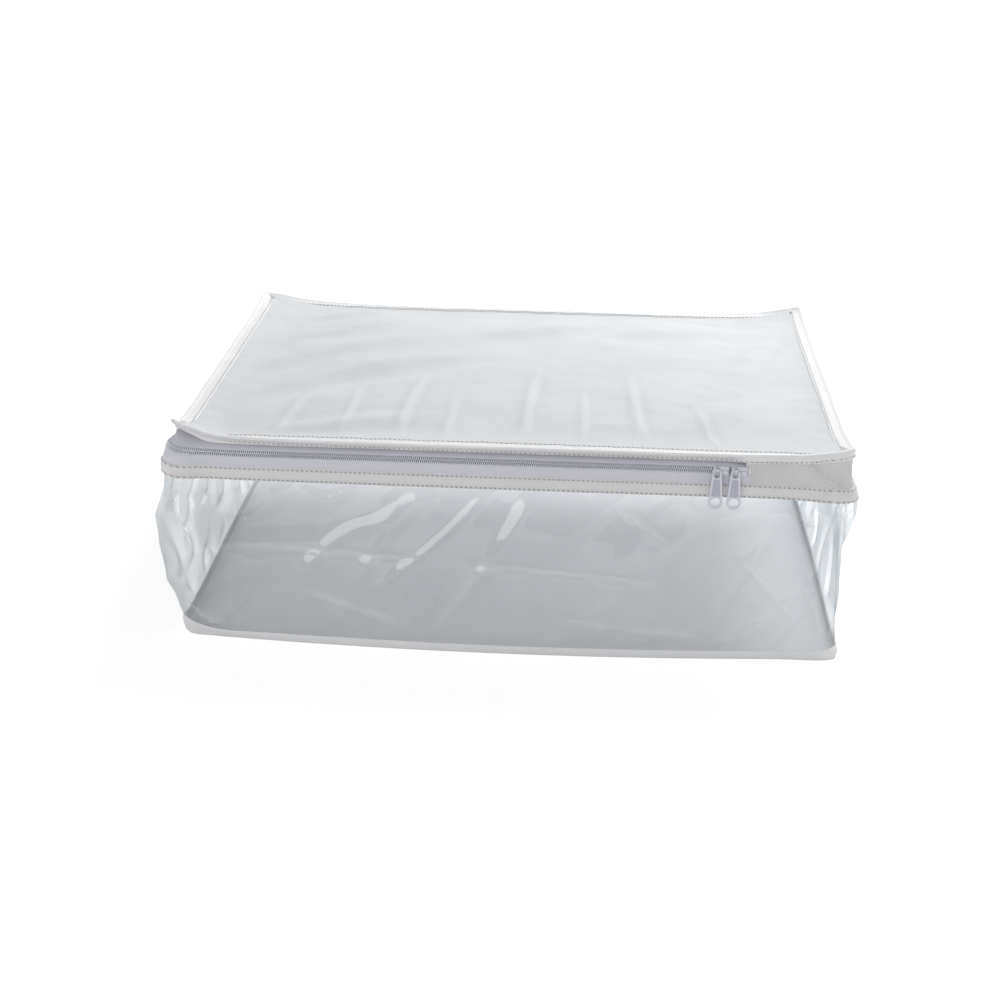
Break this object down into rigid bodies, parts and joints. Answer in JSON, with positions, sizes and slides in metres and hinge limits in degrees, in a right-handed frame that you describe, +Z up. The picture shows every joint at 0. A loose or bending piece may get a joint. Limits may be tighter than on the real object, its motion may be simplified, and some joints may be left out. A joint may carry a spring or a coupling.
{
  "type": "under bed box",
  "caption": "Soft zippered storage box with clear film walls, a fabric base and a fabric lid whose front-left half folds back when the zipper is opened.",
  "frame": {"origin": "centre of the flat underside of the base", "axes": "+Z up, +X to the right along the front, -Y out of the front"},
  "size_m": [0.6011, 0.4569, 0.2],
  "materials": {
    "clear_film": "clear soft PVC film, glossy",
    "base_fabric": "spun-bonded non-woven, matt",
    "lid_fabric": "spun-bonded non-woven with an embossed dot pattern, matt",
    "header_fabric": "spun-bonded non-woven with an embossed diagonal pattern, matt",
    "facing_strip": "smooth tape with two rows of lock stitches",
    "binding_tape": "smooth folded binding tape",
    "zipper_tape": "woven polyester tape",
    "zipper_coil": "nylon coil",
    "slider_enamel": "gloss enamel on cast zinc"
  },
  "bodies": {
    "bag": {"back_window": "clear_film", "base_binding_back": "binding_tape", "base_binding_front": "binding_tape", "base_binding_left": "binding_tape", "base_binding_right": "binding_tape", "base_panel": "base_fabric", "facing_strip_back": "facing_strip", "facing_strip_front": "facing_strip", "facing_strip_left": "facing_strip", "facing_strip_right": "facing_strip", "front_window": "clear_film", "header_back": "header_fabric", "header_front_patch": "header_fabric", "header_left_patch": "header_fabric", "header_right": "header_fabric", "left_window": "clear_film", "right_window": "clear_film", "top_binding_back": "binding_tape", "top_binding_front": "binding_tape", "top_binding_left": "binding_tape", "top_binding_right": "binding_tape", "top_panel": "lid_fabric", "zipper_coil_lower_front": "zipper_coil", "zipper_coil_lower_left": "zipper_coil", "zipper_coil_upper_front_end": "zipper_coil", "zipper_coil_upper_left_end": "zipper_coil", "zipper_stop_front": "zipper_coil", "zipper_stop_left": "zipper_coil", "zipper_tape_lower_front": "zipper_tape", "zipper_tape_lower_left": "zipper_tape", "zipper_tape_upper_front_end": "zipper_tape", "zipper_tape_upper_left_end": "zipper_tape"},
    "lid_flap": {"top_binding_front_flap": "binding_tape", "top_binding_left_flap": "binding_tape", "top_panel_flap": "lid_fabric", "zipper_coil_upper_front_flap": "zipper_coil", "zipper_coil_upper_left_flap": "zipper_coil", "zipper_tape_upper_front_flap": "zipper_tape", "zipper_tape_upper_left_flap": "zipper_tape"},
    "slider_left": {"slider_left": "slider_enamel"},
    "slider_right": {"slider_right": "slider_enamel"},
    "pull_left": {"pull_left": "slider_enamel"},
    "pull_right": {"pull_right": "slider_enamel"}
  },
  "joints": [
    {"name": "lid_flap_fold", "type": "hinge", "parent": "bag", "child": "lid_flap", "pos_m": [0.177, -0.225, 0.2], "axis": [-0.7686, 0.6397, 0], "range_deg": [0, 150]},
    {"name": "slider_left_slide", "type": "slide", "parent": "bag", "child": "slider_left", "axis": [1, 0, 0], "range_m": [-0.45, 0]},
    {"name": "slider_right_slide", "type": "slide", "parent": "bag", "child": "slider_right", "axis": [1, 0, 0], "range_m": [-0.0015, 0.0004]},
    {"name": "pull_left_swing", "type": "hinge", "parent": "slider_left", "child": "pull_left", "pos_m": [0.182, -0.2293, 0.18345], "axis": [-1, 0, 0], "range_deg": [0, 170]},
    {"name": "pull_right_swing", "type": "hinge", "parent": "slider_right", "child": "pull_right", "pos_m": [0.198, -0.2293, 0.18345], "axis": [-1, 0, 0], "range_deg": [0, 170]}
  ]
}
